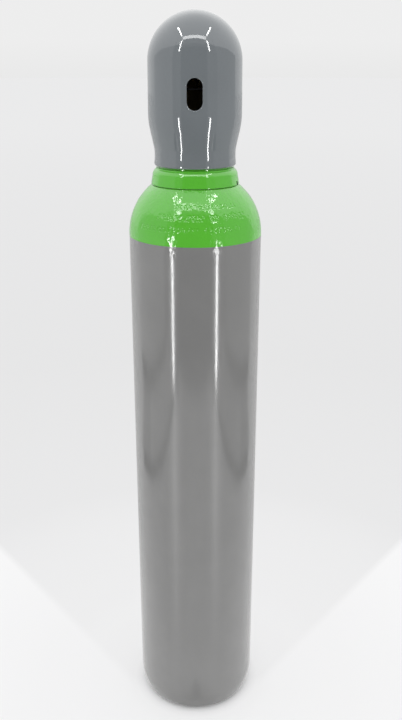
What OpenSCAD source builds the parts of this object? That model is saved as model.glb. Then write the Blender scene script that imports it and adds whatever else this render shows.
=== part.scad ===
// Portable high-pressure gas cylinder with its valve and a screwed-on protective cap.
// Millimetres, +Z up. The origin is on the floor, on the cylinder's axis. The valve outlet faces +X.

/* [Cylinder body] */
// Outside diameter of the straight wall
body_d = 141; // [139:0.5:141]
// Thickness of the straight wall
wall_t = 4; // [3:0.25:5]
// Height above the floor at which the straight wall meets the shoulder
wall_top = 590.6; // [300:0.1:900]
// Radius of the shoulder's curve
shoulder_r = 65.3; // [64:0.1:66]
// Radius of the curve that draws the wall in at the foot
foot_r = 65.2; // [62:0.1:66]
// Angle that the foot's curve turns through
foot_angle = 18.5; // [17:0.5:20]
// Radius of the edge that the cylinder stands on
toe_r = 10; // [9:0.5:11]
// Width of the flat on the standing edge
toe_flat = 2; // [1:0.5:4]
// Rise of the dished base at its middle
dish_h = 18; // [16:0.5:20]

/* [Neck and ring] */
// Outside diameter of the neck
neck_d = 60; // [58:1:61]
// Height of the neck's top face above the shoulder's start
neck_rise = 90.6; // [90:0.1:92]
// Diameter of the neck ring at its lower edge
ring_d = 92.2; // [90:0.1:93]
// Diameter of the neck ring at the top of its side
ring_top_d = 89.2; // [87.5:0.1:90]
// Diameter of the ring's plain land, the pitch diameter of its W 80 x 1/11 in thread
land_d = 78.4; // [78:0.1:78.6]

/* [Protective cap] */
// Diameter of the cap at its rim
rim_d = 84.9; // [83.8:0.1:85]
// Diameter of the cap's collar, above the rim
collar_d = 84; // [83:0.1:84]
// Largest diameter of the cap
bulge_d = 96; // [94:0.1:96]
// Diameter of the cap's dome
dome_d = 95.2; // [93:0.1:96]
// Thickness of the cap's wall
cap_t = 3; // [2.5:0.1:3.5]
// Width of each vent slot
vent_w = 16; // [12:0.5:18]
// Height of each vent slot
vent_h = 30; // [24:0.5:36]

/* [Valve] */
// Large diameter of the 25E taper stem
stem_d = 28.8; // [28:0.1:29]
// Outside diameter of the G 3/4 outlet
outlet_d = 26.44; // [26:0.01:27]
// Reach of the outlet's end from the valve's axis
outlet_reach = 34.5; // [32:0.5:35]
// Width across the flats of the body's wrench square
square_w = 30; // [28:0.5:31]
// Diameter of the spindle in its gland
spindle_d = 12; // [11.8:0.1:12.2]

/* [Handwheel] */
// Diameter of the handwheel
wheel_d = 65; // [58:0.5:68]
// Number of finger hollows around the handwheel
wheel_lobes = 8; // [6:1:10]
// Number of spokes between the hub and the rim
wheel_spokes = 4; // [3:1:5]

/* [Hidden] */
$fn = 96;
eps = 1; // how far a cutting shape runs past what it cuts
nudge = 0.01; // the same, for a cutting cone

// Cylinder body, from the floor up
body_r = body_d / 2;
toe_x = body_r - foot_r + (foot_r - toe_r) * cos(foot_angle);
foot_z = toe_r + (foot_r - toe_r) * sin(foot_angle);
dish_x = toe_x - toe_flat;
dish_r = (pow(dish_x, 2) + pow(toe_r - dish_h, 2) - pow(toe_r, 2)) / (2 * dish_h);
dish_c = [0, dish_h - dish_r];
dish_angle = atan2(toe_r - dish_c[1], dish_x);
base_t = 9; // thickness of the base at its middle
knuckle_r = 14; // inside corner between base and wall
knuckle_x = body_r - wall_t - knuckle_r;
knuckle_z = dish_c[1] + sqrt(pow(dish_r + base_t + knuckle_r, 2) - pow(knuckle_x, 2));
knuckle_angle = atan2(knuckle_z - dish_c[1], knuckle_x);
gas_r = 58; // inside curve of the shoulder
gas_c = [body_r - wall_t - gas_r, wall_top + 1.2];

// Neck: its bore and the stem in it share one 3 in 25 taper
neck_r = neck_d / 2;
neck_top = wall_top + neck_rise;
shoulder_c = [body_r - shoulder_r, wall_top];
neck_edge = 1; // chamfer of the neck's top edge
fillet_r = 6; // hollow between shoulder and neck
fillet_x = neck_r + fillet_r;
fillet_z = wall_top + sqrt(pow(shoulder_r + fillet_r, 2) - pow(fillet_x - shoulder_c[0], 2));
fillet_c = [fillet_x, fillet_z];
fillet_angle = atan2(fillet_z - wall_top, fillet_x - shoulder_c[0]);
taper = 0.06; // change of radius per unit of height
stem_up = 4; // how far the taper stands out of the neck
stem_in = 22; // how far the taper reaches down the neck
tape_t = 0.15;
tape_l = 20;
taper_l = 26; // depth of the neck's tapered bore, above its plain bore
function stem_r(z) = stem_d / 2 - taper * (stem_up - z); // z from the neck's top face
neck_bore_r = stem_r(-taper_l) + tape_t;
gas_mouth_angle = acos((neck_bore_r - gas_c[0]) / gas_r);

// Neck ring, with heights from the shoulder's start
ring_r = ring_d / 2;
ring_gap = 0.3; // clearance over the shoulder
ring_low = 51.4;
ring_side = 61;
ring_round = 8;
ring_round_angle = 57;
ring_face = 69;
land_r = land_d / 2;
land_low = 71.1;
land_top = 89.6;
land_edge = 0.8; // depth and chamfer of the undercut below the land
notch_angle = -17; // direction of the notch, from +X
notch = [6, 4, 4.6]; // depth, width and height
notch_low = 49.9;

// Protective cap, with heights from its rim
cap_z = wall_top + 71;
rim_r = rim_d / 2;
rim_round = 1.6;
rim_h = 3;
collar_r = collar_d / 2;
collar_low = 7.6;
collar_top = 12.8;
flare = 12.2; // slope between collar and bulge, from upright
flare_in_r = 27;
flare_out_r = 80;
bulge_r = bulge_d / 2;
bulge_h = 51.8;
dome_r = dome_d / 2;
dome_h = 101.2;
vent_z = 71.6;
cap_bore_r = land_r + 0.1; // running clearance on the ring's land
cap_lead = 1.2; // lead-in chamfer of the bore

// Valve, with heights from the neck's top face
flange_r = 16;
flange_h = 3;
wrench_z = stem_up + flange_h;
wrench_h = 10.5;
wrench_corner_r = 18.9;
barrel_r = 15.5;
barrel_top = 55;
outlet_r = outlet_d / 2;
outlet_z = 31;
outlet_l = 15;
outlet_root_r = 12;
port_r = 4.5;
cone_r = 8.5; // sealing cone in the outlet's end
cone_h = 6;
outlet_edge = 1;
inlet_r = 3.5;
debris_r = 4; // outside radius of the anti-debris tube
debris_l = 60;
debris_bore_r = 2.5;
debris_socket = 10; // depth of the tube's seat in the stem
debris_slot = [12, 1.2, 3];
debris_pitch = 6;
seat_z = 27;
lip_h = 1;
lip_r = 5.5;
chamber_r = 9.4;
chamber_top = 51.5;
gland_r = 11.5;
gasket_r = 14.5;
gasket_t = 1.5;
hex_w = 27;
hex_h = 10;
gland_top = barrel_top + gasket_t + hex_h;
run = 0.05; // running clearance on a radius
loose = 0.3; // clearance on a radius of loose washers and the disc
rest_gap = 0.05; // closed seat and thrust faces

// Lower spindle and its soft seat
insert_r = 5;
insert_t = 3;
cup_r = 6.6;
carrier_low = seat_z + rest_gap + 1;
carrier_z = 33;
carrier_top = 43;
slot_w = 3.2;
slot_z = 35;

// Upper spindle
spindle_r = spindle_d / 2;
collar_z = 47.5;
washer_t = 1;
thrust_z = chamber_top - washer_t;
tongue = [14, 3];
tongue_z = 39.2;
groove_z = 57;
groove_h = 3;
groove_r = 4.6;
o_ring_r = (spindle_r - groove_r) / 2;
spindle_collar_r = 8.5;
shaft_top = 68;
socket_w = 8;
socket_top = 84;
thread_r = 4;
spindle_top = 95;
spindle_edge = 0.6;

// Handwheel
wheel_r = wheel_d / 2;
wheel_z = gland_top + 0.3;
wheel_top = 86;
rim_tube_r = 7;
rim_z = 77.5;
hub_r = 13;
web_z = 74;
web_t = 5;
spoke_w = 9;
lobe_r = 7;
lobe_in = 3.2; // depth of each finger hollow
insert_body_r = 9.5;
insert_top = 77;
pocket_r = 7.8;
disc_t = 0.8;
spring_top = 85;
spring_mean_r = 6.6;
spring_wire_r = 0.6;
spring_turns = 4;
nut_w = 13;
nut_h = 6.5;
nut_z = 86.2;

// Points of an arc in the plane of a turned outline
function arc(c, r, a0, a1, steps = 12) =
    [for (i = [0:steps]) let (a = a0 + (a1 - a0) * i / steps) [c[0] + r * cos(a), c[1] + r * sin(a)]];

module turned(points) {
    rotate_extrude() polygon(points);
}

module tube(r_out, r_in, h) {
    difference() {
        cylinder(r = r_out, h = h);
        translate([0, 0, -eps]) cylinder(r = r_in, h = h + 2 * eps);
    }
}

// Hexagon whose top corners are chamfered at 30 degrees
module hexagon(across, h) {
    intersection() {
        cylinder(d = across / cos(30), h = h, $fn = 6);
        cylinder(r1 = across / 2 + h / tan(30), r2 = across / 2, h = h);
    }
}

module at_neck(z = 0) {
    translate([0, 0, neck_top + z]) children();
}

module cylinder_shell() {
    color("dimgray") turned(concat(
        arc(dish_c, dish_r, 90, dish_angle),
        arc([dish_x, toe_r], toe_r, dish_angle + 180, 270, 6),
        arc([toe_x, toe_r], toe_r, 270, 360 - foot_angle, 12),
        arc([body_r - foot_r, foot_z], foot_r, -foot_angle, 0, 6),
        arc(shoulder_c, shoulder_r, 0, fillet_angle, 24),
        arc(fillet_c, fillet_r, fillet_angle + 180, 180, 6),
        [
            [neck_r, neck_top - neck_edge], [neck_r - neck_edge, neck_top],
            [stem_r(0) + tape_t, neck_top], [neck_bore_r, neck_top - taper_l]
        ],
        arc(gas_c, gas_r, gas_mouth_angle, 0, 24),
        arc([knuckle_x, knuckle_z], knuckle_r, 0, knuckle_angle - 180, 12),
        arc(dish_c, dish_r + base_t, knuckle_angle, 90)
    ));
}

module neck_ring() {
    low_angle = acos((ring_r - ring_gap - shoulder_c[0]) / (shoulder_r + ring_gap));
    round_x = ring_top_d / 2 - ring_round;
    color("limegreen") difference() {
        translate([0, 0, wall_top]) turned(concat(
            [[neck_r, fillet_c[1] - wall_top + 1]],
            arc([shoulder_c[0], 0], shoulder_r + ring_gap, fillet_angle, low_angle, 6),
            [[ring_r, ring_low]],
            arc([round_x, ring_side], ring_round, 0, ring_round_angle, 8),
            [
                [round_x + ring_round * cos(ring_round_angle), ring_face],
                [land_r - land_edge, ring_face], [land_r - land_edge, land_low],
                [land_r, land_low + land_edge], [land_r, land_top - land_edge],
                [land_r - land_edge, land_top], [neck_r, land_top]
            ]
        ));
        rotate([0, 0, notch_angle])
            translate([ring_r - notch[0] / 2, -notch[1] / 2, wall_top + notch_low]) cube(notch);
    }
}

module vent_slot() {
    rotate([90, 0, 0]) linear_extrude(height = 4 * bulge_r, center = true) {
        for (side = [-1, 1]) translate([0, side * (vent_h - vent_w) / 2]) circle(d = vent_w);
        square([vent_w, vent_h - vent_w], center = true);
    }
}

module protective_cap() {
    inner_flare_r = flare_out_r - cap_t;
    flare_end = [bulge_r - flare_out_r + inner_flare_r * cos(flare), bulge_h - inner_flare_r * sin(flare)];
    color("slategray") translate([0, 0, cap_z]) difference() {
        turned(concat(
            [[cap_bore_r + cap_lead, 0]],
            arc([rim_r - rim_round, rim_round], rim_round, -90, 0, 6),
            [[rim_r, rim_h], [collar_r, collar_low]],
            arc([collar_r + flare_in_r, collar_top], flare_in_r, 180, 180 - flare, 6),
            arc([bulge_r - flare_out_r, bulge_h], flare_out_r, -flare, 0, 8),
            arc([0, dome_h], dome_r, 0, 90, 24),
            arc([0, dome_h], dome_r - cap_t, 90, 0, 24),
            arc([bulge_r - flare_out_r, bulge_h], inner_flare_r, 0, -flare, 8),
            [
                [cap_bore_r, flare_end[1] - (flare_end[0] - cap_bore_r) / tan(flare)],
                [cap_bore_r, cap_lead]
            ]
        ));
        translate([0, 0, vent_z]) vent_slot();
    }
}

module valve_body() {
    color("darkgoldenrod") at_neck() difference() {
        union() {
            translate([0, 0, -stem_in])
                cylinder(r1 = stem_r(-stem_in), r2 = stem_r(stem_up), h = stem_in + stem_up);
            translate([0, 0, stem_up]) cylinder(r = flange_r, h = flange_h);
            translate([0, 0, wrench_z]) intersection() {
                linear_extrude(height = wrench_h) square(square_w, center = true);
                cylinder(r = wrench_corner_r, h = wrench_h);
            }
            translate([0, 0, wrench_z]) cylinder(r = barrel_r, h = barrel_top - wrench_z);
            translate([0, 0, outlet_z]) rotate([0, 90, 0]) {
                cylinder(r = outlet_root_r, h = outlet_reach - outlet_l + eps);
                translate([0, 0, outlet_reach - outlet_l]) cylinder(r = outlet_r, h = outlet_l - outlet_edge);
                translate([0, 0, outlet_reach - outlet_edge])
                    cylinder(r1 = outlet_r, r2 = outlet_r - outlet_edge, h = outlet_edge);
            }
        }
        translate([0, 0, -stem_in - eps]) cylinder(r = inlet_r, h = stem_in + seat_z + 2 * eps);
        translate([0, 0, -stem_in - eps]) cylinder(r = debris_r, h = debris_socket + eps);
        difference() {
            translate([0, 0, seat_z - lip_h]) cylinder(r = chamber_r, h = barrel_top);
            translate([0, 0, seat_z - lip_h - eps]) cylinder(r = lip_r, h = lip_h + eps);
        }
        translate([0, 0, chamber_top]) cylinder(r = gland_r, h = barrel_top);
        translate([lip_r + eps, 0, outlet_z]) rotate([0, 90, 0]) cylinder(r = port_r, h = outlet_reach);
        translate([outlet_reach + nudge, 0, outlet_z]) rotate([0, -90, 0])
            cylinder(r1 = cone_r, r2 = port_r, h = cone_h);
    }
}

module stem_seal_tape() {
    color("white") at_neck(-tape_l) difference() {
        cylinder(r1 = stem_r(-tape_l) + tape_t, r2 = stem_r(0) + tape_t, h = tape_l);
        translate([0, 0, -eps])
            cylinder(r1 = stem_r(-tape_l - eps), r2 = stem_r(eps), h = tape_l + 2 * eps);
    }
}

module anti_debris_tube() {
    color("goldenrod") at_neck(-stem_in + debris_socket - debris_l) difference() {
        tube(debris_r, debris_bore_r, debris_l);
        for (i = [1:3]) translate([0, 0, debris_pitch * i]) rotate([0, 0, 60 * i])
            cube(debris_slot, center = true);
    }
}

module gland_nut() {
    color("gold") at_neck() difference() {
        union() {
            translate([0, 0, chamber_top]) cylinder(r = gland_r, h = gland_top - chamber_top);
            translate([0, 0, barrel_top + gasket_t]) hexagon(hex_w, hex_h);
        }
        translate([0, 0, chamber_top - eps]) cylinder(r = spindle_r + run, h = gland_top);
    }
}

module gland_gasket() {
    color("ivory") at_neck(barrel_top) tube(gasket_r, gland_r, gasket_t);
}

module thrust_washer() {
    color("ivory") at_neck(thrust_z) tube(chamber_r - loose, spindle_r + loose, washer_t);
}

module spindle() {
    color("silver") at_neck() difference() {
        union() {
            translate([-tongue[0] / 2, -tongue[1] / 2, tongue_z])
                cube([tongue[0], tongue[1], collar_z - tongue_z]);
            translate([0, 0, collar_z]) cylinder(r = spindle_collar_r, h = thrust_z - collar_z - rest_gap);
            translate([0, 0, collar_z]) cylinder(r = spindle_r, h = shaft_top - collar_z);
            translate([-socket_w / 2, -socket_w / 2, shaft_top])
                cube([socket_w, socket_w, socket_top - shaft_top]);
            translate([0, 0, socket_top]) cylinder(r = thread_r, h = spindle_top - socket_top - spindle_edge);
            translate([0, 0, spindle_top - spindle_edge])
                cylinder(r1 = thread_r, r2 = thread_r - spindle_edge, h = spindle_edge);
        }
        translate([0, 0, groove_z]) tube(spindle_r + eps, groove_r, groove_h);
    }
}

module spindle_o_ring() {
    color("black") at_neck(groove_z + o_ring_r) rotate_extrude()
        translate([groove_r + o_ring_r, 0]) circle(r = o_ring_r);
}

module spindle_backup_ring() {
    color("ivory") at_neck(groove_z + 2 * o_ring_r) tube(spindle_r, groove_r, groove_h - 2 * o_ring_r);
}

module seat_carrier() {
    color("goldenrod") at_neck() difference() {
        union() {
            translate([0, 0, carrier_low]) cylinder(r = cup_r, h = carrier_top - carrier_low);
            translate([0, 0, carrier_z]) cylinder(r = chamber_r - run, h = carrier_top - carrier_z);
        }
        translate([0, 0, seat_z + rest_gap]) cylinder(r = insert_r, h = insert_t);
        translate([-chamber_r, -slot_w / 2, slot_z]) cube([2 * chamber_r, slot_w, carrier_top]);
    }
}

module seat_insert() {
    color("beige") at_neck(seat_z + rest_gap) cylinder(r = insert_r, h = insert_t);
}

module handwheel() {
    rim_x = wheel_r - rim_tube_r;
    spoke_angle = 45;
    color("black") at_neck() difference() {
        union() {
            translate([0, 0, rim_z]) rotate_extrude() translate([rim_x, 0]) circle(r = rim_tube_r);
            translate([0, 0, wheel_z]) cylinder(r = hub_r, h = wheel_top - wheel_z);
            for (i = [0:wheel_spokes - 1]) rotate([0, 0, spoke_angle + 360 * i / wheel_spokes])
                translate([0, -spoke_w / 2, web_z]) cube([rim_x, spoke_w, web_t]);
        }
        for (i = [0:wheel_lobes - 1]) rotate([0, 0, 360 * (i + 0.5) / wheel_lobes])
            translate([wheel_r + lobe_r - lobe_in, 0, wheel_z]) cylinder(r = lobe_r, h = wheel_top);
        translate([0, 0, wheel_z - eps]) cylinder(r = insert_body_r, h = insert_top - wheel_z + eps);
        translate([0, 0, insert_top - eps]) cylinder(r = pocket_r, h = wheel_top);
    }
}

module handwheel_insert() {
    color("silver") at_neck(wheel_z) difference() {
        cylinder(r = insert_body_r, h = insert_top - wheel_z);
        translate([0, 0, -eps]) cylinder(r = spindle_r + run, h = shaft_top - wheel_z + eps);
        translate([-socket_w / 2, -socket_w / 2, -eps]) cube([socket_w, socket_w, insert_top]);
    }
}

module direction_disc() {
    color("white") at_neck(wheel_top) tube(hub_r - loose, pocket_r + loose, disc_t);
}

// Round wire swept up a helix: a ring of points every step, with flat closed ends
module handwheel_spring() {
    sides = 8;
    steps = 16 * spring_turns;
    rise = spring_top - insert_top - 2 * spring_wire_r;
    points = [
        for (i = [0:steps], j = [0:sides - 1])
            let (turn = 360 * spring_turns * i / steps, a = 360 * j / sides)
            let (r = spring_mean_r + spring_wire_r * cos(a))
            [r * cos(turn), r * sin(turn), spring_wire_r + rise * i / steps + spring_wire_r * sin(a)]
    ];
    walls = [
        for (i = [0:steps - 1], j = [0:sides - 1])
            let (a = i * sides + j, b = i * sides + (j + 1) % sides) [a, b, b + sides, a + sides]
    ];
    ends = [[for (j = [sides - 1:-1:0]) j], [for (j = [0:sides - 1]) steps * sides + j]];
    color("silver") at_neck(insert_top) polyhedron(points = points, faces = concat(walls, ends));
}

module spring_washer() {
    color("silver") at_neck(spring_top) tube(pocket_r - loose, thread_r, nut_z - spring_top);
}

module handwheel_nut() {
    color("silver") at_neck(nut_z) difference() {
        hexagon(nut_w, nut_h);
        translate([0, 0, -eps]) cylinder(r = thread_r, h = nut_h + 2 * eps);
    }
}

cylinder_shell();
neck_ring();
protective_cap();
valve_body();
stem_seal_tape();
anti_debris_tube();
gland_nut();
gland_gasket();
thrust_washer();
spindle();
spindle_o_ring();
spindle_backup_ring();
seat_carrier();
seat_insert();
handwheel();
handwheel_insert();
direction_disc();
handwheel_spring();
spring_washer();
handwheel_nut();
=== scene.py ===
"""Looks of the portable gas cylinder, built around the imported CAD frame.

Meshes are made here in millimetres and stored in metres, in the CAD frame:
the origin is on the floor on the cylinder's axis, +Z up, the front vent slot faces -Y.
"""

import itertools
import math

import bpy
import numpy as np
from mathutils import Matrix


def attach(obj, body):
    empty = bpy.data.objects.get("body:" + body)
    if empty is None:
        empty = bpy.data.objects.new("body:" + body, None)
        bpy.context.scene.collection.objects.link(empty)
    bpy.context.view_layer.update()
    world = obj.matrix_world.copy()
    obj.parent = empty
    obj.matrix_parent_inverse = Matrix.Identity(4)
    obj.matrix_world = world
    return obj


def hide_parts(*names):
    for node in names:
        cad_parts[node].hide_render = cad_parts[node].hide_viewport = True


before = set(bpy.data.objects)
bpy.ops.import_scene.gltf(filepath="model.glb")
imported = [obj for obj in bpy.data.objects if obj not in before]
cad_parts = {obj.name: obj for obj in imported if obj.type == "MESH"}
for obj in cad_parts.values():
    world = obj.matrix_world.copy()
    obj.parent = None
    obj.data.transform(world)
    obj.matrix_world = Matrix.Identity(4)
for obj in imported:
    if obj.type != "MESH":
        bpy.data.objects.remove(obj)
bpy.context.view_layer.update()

MM = 0.001
TAU = 2 * math.pi
rng = np.random.default_rng(7)
scene = bpy.context.scene


# -------- outlines


def arc(cx, cz, r, start, end, steps):
    """Points of an arc in the plane of a turned outline. Angles are in degrees."""
    angles = np.radians(np.linspace(start, end, steps + 1))
    return [(cx + r * math.cos(a), cz + r * math.sin(a)) for a in angles]


def line(p, q, steps):
    """Points from p to q, both included."""
    return [(p[0] + (q[0] - p[0]) * t, p[1] + (q[1] - p[1]) * t) for t in np.linspace(0, 1, steps + 1)]


def joined(*runs):
    """One outline from several runs of points, without the points that repeat."""
    points = []
    for run in runs:
        for p in run:
            if not points or math.dist(p, points[-1]) > 1e-4:
                points.append(p)
    return points


def placed(name, data):
    obj = bpy.data.objects.new(name, data)
    scene.collection.objects.link(obj)
    return obj


def make_object(name, verts, faces, smooth_angle=32):
    """A shaded mesh object from vertices in millimetres."""
    mesh = bpy.data.meshes.new(name)
    mesh.from_pydata((np.asarray(verts, float) * MM).tolist(), [], faces)
    mesh.update()
    obj = placed(name, mesh)
    shade(obj, smooth_angle)
    return obj


def shade(obj, smooth_angle=32):
    """Smooth shading, with edges sharper than the angle left sharp."""
    mesh = obj.data
    mesh.polygons.foreach_set("use_smooth", np.ones(len(mesh.polygons), bool))
    mesh.set_sharp_from_angle(angle=math.radians(smooth_angle))


def face_centre(polygon):
    """Radius, angle and height of a face's centre, in millimetres and radians."""
    x, y, z = (value / MM for value in polygon.center)
    return math.hypot(x, y), math.atan2(y, x), z


def lathe_parts(outline, segments, warp=None, skip=None):
    """Vertices and faces of a closed outline turned about Z.

    warp(r, angle, z) moves the points and gives back r and z. skip(row, column) leaves a face out.
    A point on the axis becomes one vertex."""
    r, z = (np.repeat(np.array(values)[:, None], segments, 1) for values in zip(*outline))
    angle = np.tile(np.arange(segments) * TAU / segments, (len(outline), 1))
    if warp:
        r, z = warp(r, angle, z)
    points = np.stack([r * np.cos(angle), r * np.sin(angle), z], 2)
    on_axis = [abs(p[0]) < 1e-6 for p in outline]
    verts, index, count = [], np.zeros((len(outline), segments), int), 0
    for i, pole in enumerate(on_axis):
        size = 1 if pole else segments
        verts.append(points[i, :size])
        index[i] = count + np.arange(segments) % size
        count += size
    faces = []
    nexts = (np.arange(segments) + 1) % segments
    for i in range(len(outline)):
        k = (i + 1) % len(outline)
        if on_axis[i] and on_axis[k]:
            continue
        corners = [index[i], index[i][nexts], index[k][nexts], index[k]]
        if on_axis[i]:
            del corners[1]
        elif on_axis[k]:
            del corners[2]
        block = np.stack(corners, 1)
        if skip:
            block = block[[not skip(i, j) for j in range(segments)]]
        faces += block.tolist()
    return np.concatenate(verts), faces, index


def lathe(name, outline, segments, warp=None):
    verts, faces, _ = lathe_parts(outline, segments, warp)
    return make_object(name, verts, faces)


def thread(angle, z, pitch, start, end, fade=1.0):
    """0 at the root and 1 at the crest of a right-handed thread with rounded 55 degree flanks."""
    wave = 0.5 + 0.5 * np.cos(TAU * (z / pitch - angle / TAU))
    ends = np.clip((z - start) / fade, 0, 1) * np.clip((end - z) / fade, 0, 1)
    return wave * ends


def turned_about_x(obj):
    """Lays a turned piece down, so that its +Z points along +X."""
    obj.data.transform(Matrix.Rotation(math.radians(90), 4, "Y"))
    return obj


def spline_weights(positions, lattice, wrap):
    """Cubic B-spline weights of each position on a lattice, as a dense matrix."""
    base = np.floor(positions).astype(int)
    f = positions - base
    parts = [(1 - f) ** 3, 3 * f**3 - 6 * f**2 + 4, -3 * f**3 + 3 * f**2 + 3 * f + 1, f**3]
    weights = np.zeros((len(positions), lattice))
    rows = np.arange(len(positions))
    for k, part in enumerate(parts):
        column = (base + k) % lattice if wrap else np.clip(base + k, 0, lattice - 1)
        np.add.at(weights, (rows, column), part / 6)
    return weights


class Grain:
    """Smooth random relief on a turned surface, over the angle and the length along the outline.

    It is drawn on a lattice of the given points around and cell in millimetres along."""

    low, high = -20, 90
    spread = 0.45  # of the smoothed field, so that the relief's spread is about 1

    def __init__(self, around, cell):
        self.around, self.cell = around, cell
        self.field = rng.standard_normal((int((self.high - self.low) / cell) + 5, around))

    def at(self, angles, lengths):
        across = spline_weights(angles / TAU * self.around, self.around, True)
        along = spline_weights((lengths - self.low) / self.cell, len(self.field), False)
        return along @ self.field @ across.T / self.spread


def lengths_along(outline):
    steps = [math.dist(a, b) for a, b in zip(outline, outline[1:])]
    return np.concatenate([[0], np.cumsum(steps)])


def smooth_step(x):
    x = np.clip(x, 0, 1)
    return x * x * (3 - 2 * x)


# -------- materials


def srgb(*values):
    """Linear colour of an sRGB colour given from 0 to 255."""
    shares = [value / 255 for value in values]
    return (*(s / 12.92 if s <= 0.04045 else ((s + 0.055) / 1.055) ** 2.4 for s in shares), 1)


def grey(level):
    return (level, level, level, 1)


WHITE = grey(1)
BLACK = grey(0)


class Nodes:
    """Short names for building a node tree."""

    def __init__(self, owner, output="ShaderNodeOutputMaterial", place="Object"):
        self.owner = owner
        owner.use_nodes = True
        self.tree = owner.node_tree
        self.tree.nodes.clear()
        self.output = self.tree.nodes.new(output)
        self.where = self.tree.nodes.new("ShaderNodeTexCoord").outputs[place]

    def add(self, kind, inputs, **settings):
        """A new node. Each input gets a constant, or a link from another node's result."""
        node = self.tree.nodes.new(kind)
        for key, value in settings.items():
            setattr(node, key, value)
        for key, value in inputs.items():
            if isinstance(value, (int, float, tuple)):
                node.inputs[key].default_value = value
            else:
                self.tree.links.new(value, node.inputs[key])
        return node

    def noise(self, scale, detail):
        inputs = {"Vector": self.where, "Scale": scale, "Detail": detail}
        return self.add("ShaderNodeTexNoise", inputs).outputs["Fac"]

    def cloud(self, scale, detail, low, high):
        """Noise spread from low to high."""
        return self.ramp(self.noise(scale, detail), 0.3, 0.7, low, high)

    def ramp(self, value, low, high, to_low, to_high):
        """Maps low..high to to_low..to_high, and holds the value beyond it."""
        inputs = {"Value": value, "From Min": low, "From Max": high, "To Min": to_low, "To Max": to_high}
        return self.add("ShaderNodeMapRange", inputs).outputs["Result"]

    def greys(self, value, stops):
        """A colour ramp of greys from (position, grey) pairs; the last position is at a value of 1."""
        node = self.add("ShaderNodeValToRGB", {"Fac": value})
        elements = node.color_ramp.elements
        for at, level in stops[1:-1]:
            elements.new(at / stops[-1][0]).color = grey(level)
        elements[0].color = grey(stops[0][1])
        elements[-1].color = grey(stops[-1][1])
        return node.outputs["Color"]

    def mix(self, factor, a, b):
        return self.add("ShaderNodeMix", {0: factor, 6: a, 7: b}, data_type="RGBA").outputs[2]

    def math(self, operation, a, b=0.0):
        return self.add("ShaderNodeMath", {0: a, 1: b}, operation=operation).outputs[0]

    def vector(self, operation, *values, result="Vector"):
        inputs = dict(enumerate(values))
        return self.add("ShaderNodeVectorMath", inputs, operation=operation).outputs[result]

    def scaled(self, vector, factor):
        inputs = {0: vector, "Scale": factor}
        return self.add("ShaderNodeVectorMath", inputs, operation="SCALE").outputs[0]

    def split(self, vector):
        """The X, Y and Z of a vector, by name."""
        return self.add("ShaderNodeSeparateXYZ", {0: vector}).outputs

    def bump(self, height, distance):
        return self.add("ShaderNodeBump", {"Height": height, "Distance": distance}).outputs["Normal"]

    def diffuse(self, colour):
        return self.add("ShaderNodeBsdfDiffuse", {"Color": colour}).outputs[0]

    def emission(self, strength=1.0, colour=WHITE):
        return self.add("ShaderNodeEmission", {"Color": colour, "Strength": strength}).outputs[0]

    def both(self, a, b):
        return self.add("ShaderNodeAddShader", {0: a, 1: b}).outputs[0]

    def surface(self, shader):
        """Puts the shader on the surface, and gives back the finished material or world."""
        self.tree.links.new(shader, self.output.inputs["Surface"])
        return self.owner

    def principled(self, colour, rough, normal, constants):
        inputs = {"Base Color": colour, "Roughness": rough, "Normal": normal, **constants}
        return self.surface(self.add("ShaderNodeBsdfPrincipled", inputs).outputs["BSDF"])


def material_nodes(name):
    return Nodes(bpy.data.materials.new(name))


def shades(colour, by):
    """A darker and a lighter shade of a linear colour."""
    return [tuple(c * factor for c in colour[:3]) + (1,) for factor in (1 - by, 1 + by)]


def paint(name, colour, rough, peel, peel_size):
    """Stoved gloss paint: slightly clouded, with orange peel of a depth and size in millimetres."""
    n = material_nodes(name)
    base = n.mix(n.cloud(24, 3, 0, 1), *shades(colour, 0.03))
    specks = n.ramp(n.noise(1400, 1), 0.66, 0.74, 0, 0.25)
    base = n.mix(specks, base, shades(colour, 0.35)[0])
    roughness = n.cloud(60, 3, rough * 0.85, rough * 1.15)
    normal = n.bump(n.noise(1000 / peel_size, 2), peel * MM)
    return n.principled(base, roughness, normal, {"IOR": 1.5})


def metal(name, colour, rough, size, depth=0.01):
    """Worked metal: cloudy tone, uneven gloss and a fine relief."""
    n = material_nodes(name)
    base = n.mix(n.cloud(60, 4, 0, 1), *shades(colour, 0.12))
    roughness = n.cloud(160, 4, rough * 0.75, rough * 1.3)
    normal = n.bump(n.noise(1000 / size, 3), depth * MM)
    return n.principled(base, roughness, normal, {"Metallic": 1.0})


def plastic(name, colour, rough, size, depth, ior=1.5, subsurface=0.0):
    """Moulded plastic or rubber: a fine even texture and a slightly uneven sheen."""
    n = material_nodes(name)
    base = n.mix(n.cloud(90, 3, 0, 1), *shades(colour, 0.08))
    roughness = n.cloud(300, 3, rough * 0.85, rough * 1.15)
    normal = n.bump(n.noise(1000 / size, 2), depth * MM)
    return n.principled(base, roughness, normal, {"IOR": ior, "Subsurface Weight": subsurface})


GREY = srgb(122, 122, 121)
GREEN = srgb(87, 177, 53)
CAP_GREY = srgb(110, 115, 118)

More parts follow.
